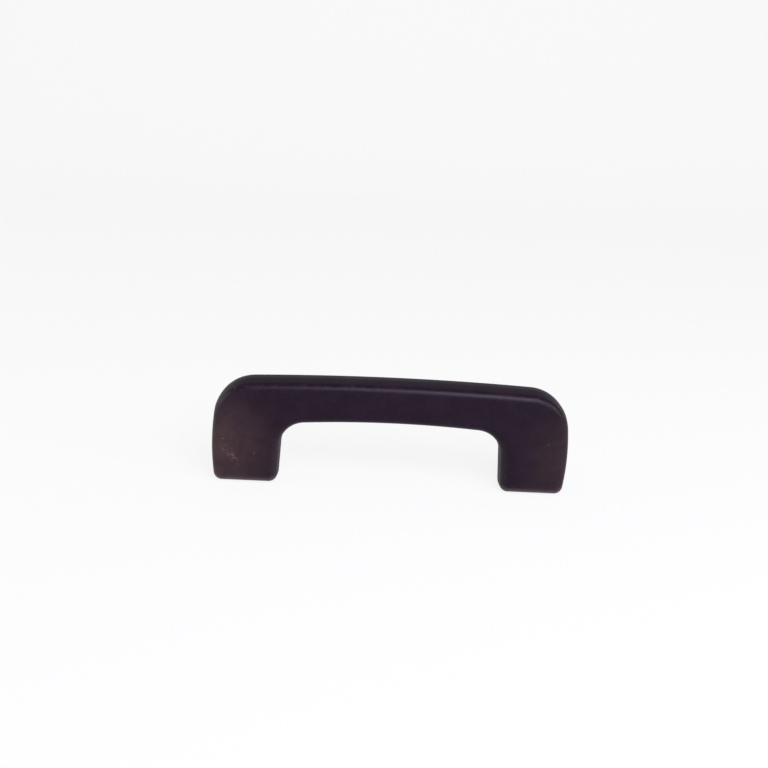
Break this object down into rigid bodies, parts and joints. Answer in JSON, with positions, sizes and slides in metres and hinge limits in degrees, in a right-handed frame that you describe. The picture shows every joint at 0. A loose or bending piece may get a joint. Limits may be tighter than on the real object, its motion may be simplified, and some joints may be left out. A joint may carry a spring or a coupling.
{
  "type": "roof grab handle",
  "caption": "Wide, low U-shaped roof grab handle moulded in dark soft plastic, with a rounded grip over a finger gap and threaded metal inserts in its flat feet.",
  "frame": {"origin": "midway between the two feet, on the plane of their flat faces", "axes": "+X along the grip, +Y towards the back face, +Z from the feet up to the grip; the front face looks along -Y"},
  "size_m": [0.2, 0.02, 0.0617],
  "materials": {
    "moulded_skin": "satin, dark brown-purple black, fine moulded grain, faintly scuffed",
    "insert_steel": "turned steel, bright"
  },
  "bodies": {
    "root": {"handle_moulding": "moulded_skin", "threaded_insert_left": "insert_steel", "threaded_insert_right": "insert_steel"}
  },
  "joints": []
}
